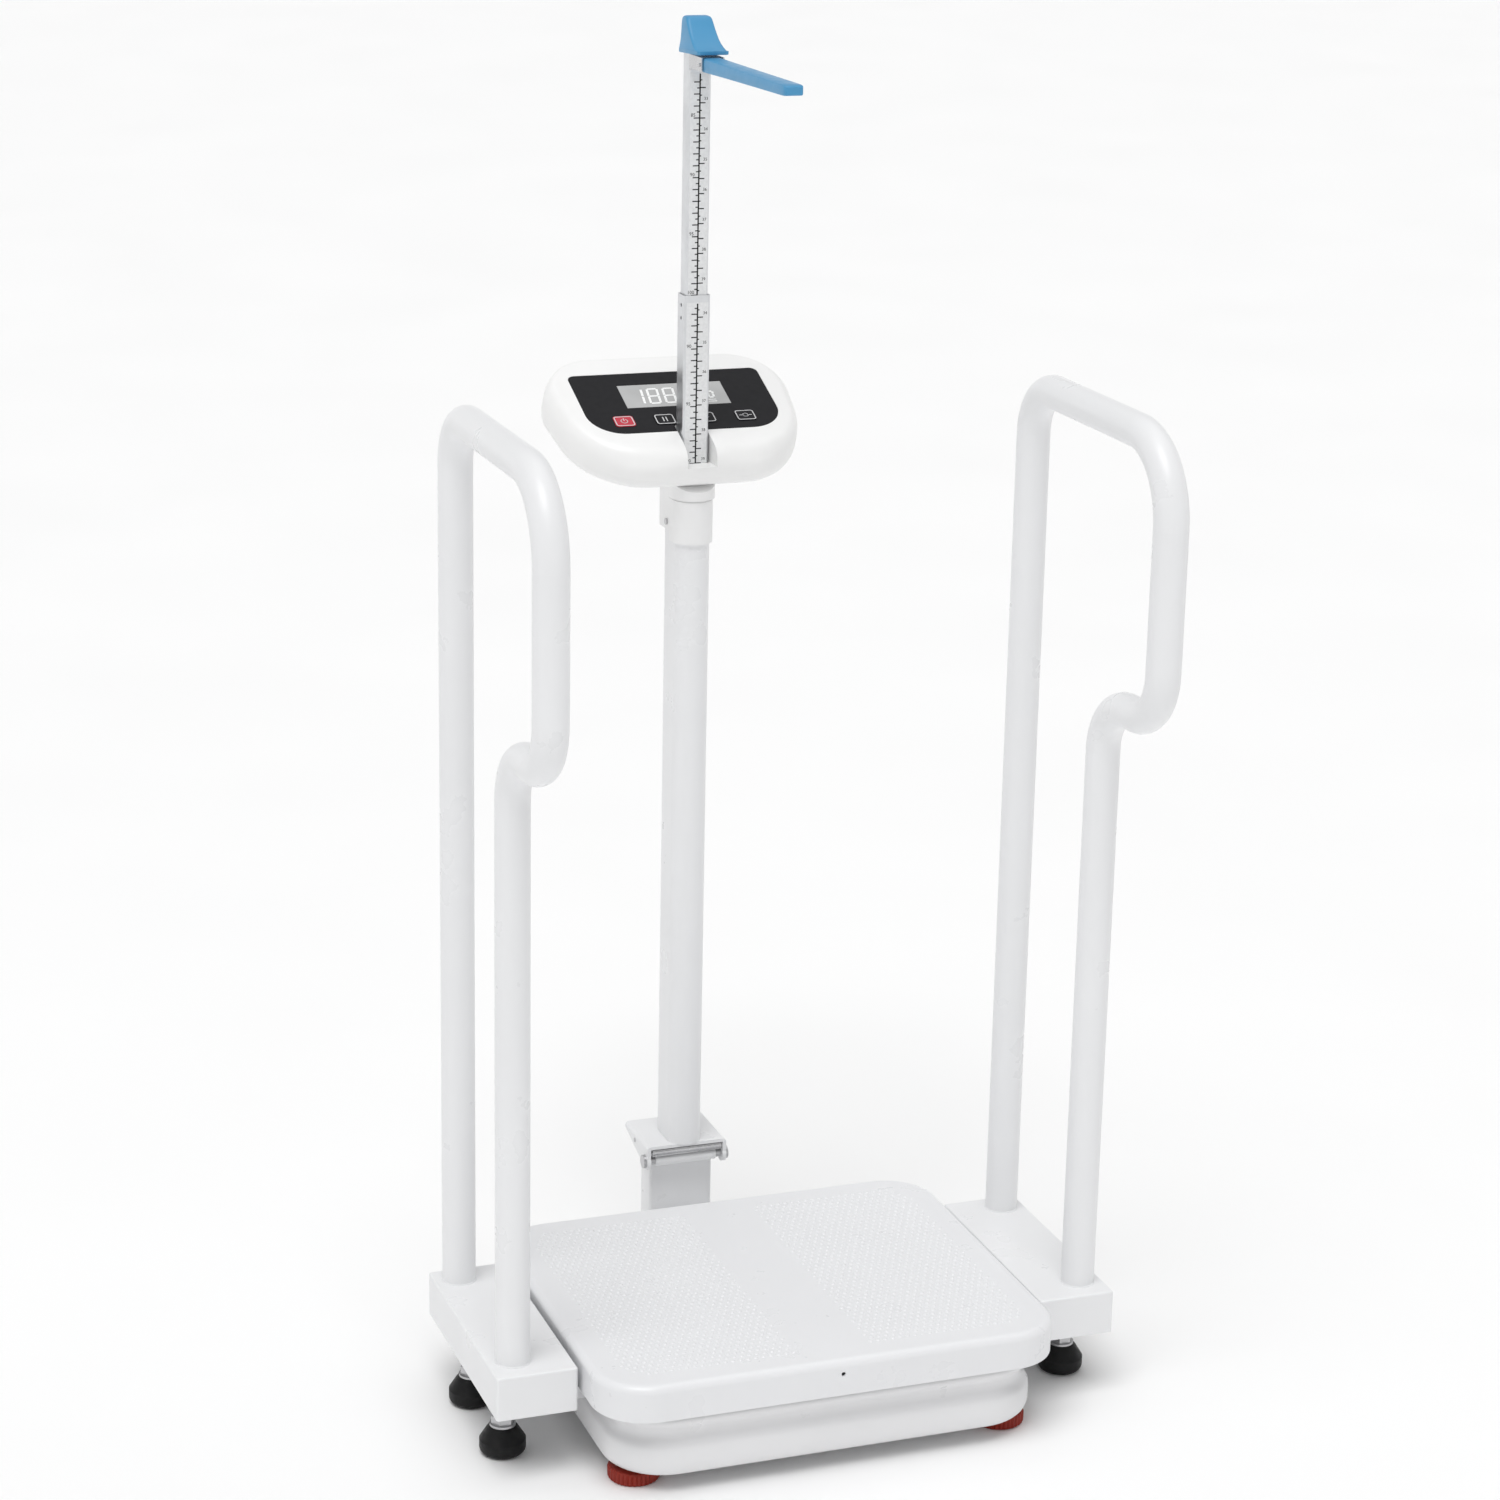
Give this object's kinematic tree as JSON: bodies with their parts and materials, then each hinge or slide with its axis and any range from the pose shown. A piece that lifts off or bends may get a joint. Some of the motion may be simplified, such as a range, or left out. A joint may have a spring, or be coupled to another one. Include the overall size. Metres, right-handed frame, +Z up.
{
  "type": "column scale with handrails and height rod",
  "caption": "Electronic personal scale: low platform between two looped handrails, folding column with tilted display and a telescopic height rod with a folding arm.",
  "frame": {"origin": "on the floor, below the centre of the whole object's outline", "axes": "+Z up, -Y towards the person who steps on, +X to that person's right when they face the display"},
  "size_m": [0.55, 0.5561, 1.146],
  "materials": {
    "frame_paint": "smooth white powder coat, fairly glossy",
    "platform_paint": "white embossed enamel, soft gloss",
    "bare_steel": "zinc plated steel",
    "bright_steel": "bright plated steel",
    "rod_aluminium": "satin anodised aluminium with a printed rule",
    "cell_aluminium": "machined aluminium",
    "cast_aluminium": "sand cast aluminium",
    "housing_white": "white moulded plastic, soft gloss",
    "collar_white": "white moulded plastic, satin",
    "fascia_black": "black printed overlay",
    "lcd_face": "grey-green display behind clear cover",
    "board_green": "circuit board",
    "key_red": "red key",
    "key_black": "black key with a pale outline",
    "knob_red": "red moulded plastic",
    "foot_rubber": "black rubber",
    "head_blue": "blue moulded plastic, soft gloss",
    "battery_wrap": "plain battery wrap"
  },
  "bodies": {
    "base": {"base_pan": "frame_paint", "base_frame": "cast_aluminium", "foot_locknuts": "bare_steel", "cross_bar_front": "frame_paint", "cross_bar_rear": "frame_paint", "frame_bolts": "bare_steel", "rail_base_left": "frame_paint", "rail_base_right": "frame_paint", "handrail_left": "frame_paint", "handrail_right": "frame_paint", "load_cell": "cell_aluminium", "load_cell_spacers": "bare_steel", "platform_frame": "cast_aluminium", "load_cell_bolts": "bare_steel", "platform_pads": "foot_rubber", "overload_stops": "bare_steel", "platform_cover": "platform_paint", "column_arm": "frame_paint", "pedestal": "frame_paint"},
    "column": {"hinge_pin": "bare_steel", "hinge_saddle": "frame_paint", "latch_pin": "bare_steel", "column_tube": "frame_paint", "column_collar": "collar_white", "indicator_bracket": "collar_white", "bracket_screws": "bare_steel", "indicator_front": "housing_white", "indicator_back": "housing_white", "fascia": "fascia_black", "lcd_module": "lcd_face", "circuit_board": "board_green", "batteries": "battery_wrap"},
    "latch": {"latch_plate": "bright_steel"},
    "battery_door": {"battery_door": "housing_white"},
    "outer_rod": {"rod_outer": "rod_aluminium"},
    "inner_rod": {"rod_inner": "rod_aluminium", "head_cap": "head_blue", "spring_clip": "bright_steel", "arm_pin": "bare_steel"},
    "measuring_arm": {"head_arm": "head_blue"},
    "key_power_cap": {"key_power": "key_red"},
    "key_hold_cap": {"key_hold": "key_black"},
    "key_mode_cap": {"key_mode": "key_black"},
    "key_tare_cap": {"key_tare": "key_black"},
    "levelling_foot_front_left": {"levelling_knob_front_left": "knob_red", "levelling_stud_front_left": "bare_steel"},
    "rail_foot_front_left": {"rubber_foot_front_left": "foot_rubber", "foot_stud_front_left": "bare_steel"},
    "levelling_foot_front_right": {"levelling_knob_front_right": "knob_red", "levelling_stud_front_right": "bare_steel"},
    "rail_foot_front_right": {"rubber_foot_front_right": "foot_rubber", "foot_stud_front_right": "bare_steel"},
    "levelling_foot_rear_left": {"levelling_knob_rear_left": "knob_red", "levelling_stud_rear_left": "bare_steel"},
    "rail_foot_rear_left": {"rubber_foot_rear_left": "foot_rubber", "foot_stud_rear_left": "bare_steel"},
    "levelling_foot_rear_right": {"levelling_knob_rear_right": "knob_red", "levelling_stud_rear_right": "bare_steel"},
    "rail_foot_rear_right": {"rubber_foot_rear_right": "foot_rubber", "foot_stud_rear_right": "bare_steel"}
  },
  "joints": [
    {"name": "column_fold", "type": "hinge", "parent": "base", "child": "column", "pos_m": [0, 0.149, 0.118], "axis": [1, 0, 0], "range_deg": [0, 80]},
    {"name": "latch_lift", "type": "hinge", "parent": "column", "child": "latch", "pos_m": [0, 0.179, 0.127], "axis": [1, 0, 0], "range_deg": [-3, 0], "stiffness_Nm_per_rad": 0.5, "springref_deg": 8.59},
    {"name": "outer_rod_slide", "type": "slide", "parent": "column", "child": "outer_rod", "axis": [0, 0, 1], "range_m": [-0.13, 0.39]},
    {"name": "inner_rod_slide", "type": "slide", "parent": "outer_rod", "child": "inner_rod", "axis": [0, 0, 1], "range_m": [-0.18, 0.33]},
    {"name": "arm_fold", "type": "hinge", "parent": "inner_rod", "child": "measuring_arm", "pos_m": [0, 0.122, 1.109], "axis": [1, 0, 0], "range_deg": [0, 90]},
    {"name": "battery_door_swing", "type": "hinge", "parent": "column", "child": "battery_door", "pos_m": [0, 0.26414, 0.79652], "axis": [1, 0, 0], "range_deg": [0, 100]},
    {"name": "key_power_press", "type": "slide", "parent": "column", "child": "key_power_cap", "axis": [0, 0.3827, -0.9239], "range_m": [0, 0.0008], "stiffness_N_per_m": 1500, "springref_m": -0.0003},
    {"name": "key_hold_press", "type": "slide", "parent": "column", "child": "key_hold_cap", "axis": [0, 0.3827, -0.9239], "range_m": [0, 0.0008], "stiffness_N_per_m": 1500, "springref_m": -0.0003},
    {"name": "key_mode_press", "type": "slide", "parent": "column", "child": "key_mode_cap", "axis": [0, 0.3827, -0.9239], "range_m": [0, 0.0008], "stiffness_N_per_m": 1500, "springref_m": -0.0003},
    {"name": "key_tare_press", "type": "slide", "parent": "column", "child": "key_tare_cap", "axis": [0, 0.3827, -0.9239], "range_m": [0, 0.0008], "stiffness_N_per_m": 1500, "springref_m": -0.0003},
    {"name": "levelling_foot_front_left_turn", "type": "hinge", "parent": "base", "child": "levelling_foot_front_left", "pos_m": [-0.163, -0.205, 0], "axis": [0, 0, 1], "continuous": true},
    {"name": "rail_foot_front_left_turn", "type": "hinge", "parent": "base", "child": "rail_foot_front_left", "pos_m": [-0.254, -0.132, 0], "axis": [0, 0, 1], "continuous": true},
    {"name": "levelling_foot_front_right_turn", "type": "hinge", "parent": "base", "child": "levelling_foot_front_right", "pos_m": [0.163, -0.205, 0], "axis": [0, 0, 1], "continuous": true},
    {"name": "rail_foot_front_right_turn", "type": "hinge", "parent": "base", "child": "rail_foot_front_right", "pos_m": [0.254, -0.132, 0], "axis": [0, 0, 1], "continuous": true},
    {"name": "levelling_foot_rear_left_turn", "type": "hinge", "parent": "base", "child": "levelling_foot_rear_left", "pos_m": [-0.163, 0.031, 0], "axis": [0, 0, 1], "continuous": true},
    {"name": "rail_foot_rear_left_turn", "type": "hinge", "parent": "base", "child": "rail_foot_rear_left", "pos_m": [-0.254, -0.037, 0], "axis": [0, 0, 1], "continuous": true},
    {"name": "levelling_foot_rear_right_turn", "type": "hinge", "parent": "base", "child": "levelling_foot_rear_right", "pos_m": [0.163, 0.031, 0], "axis": [0, 0, 1], "continuous": true},
    {"name": "rail_foot_rear_right_turn", "type": "hinge", "parent": "base", "child": "rail_foot_rear_right", "pos_m": [0.254, -0.037, 0], "axis": [0, 0, 1], "continuous": true}
  ]
}
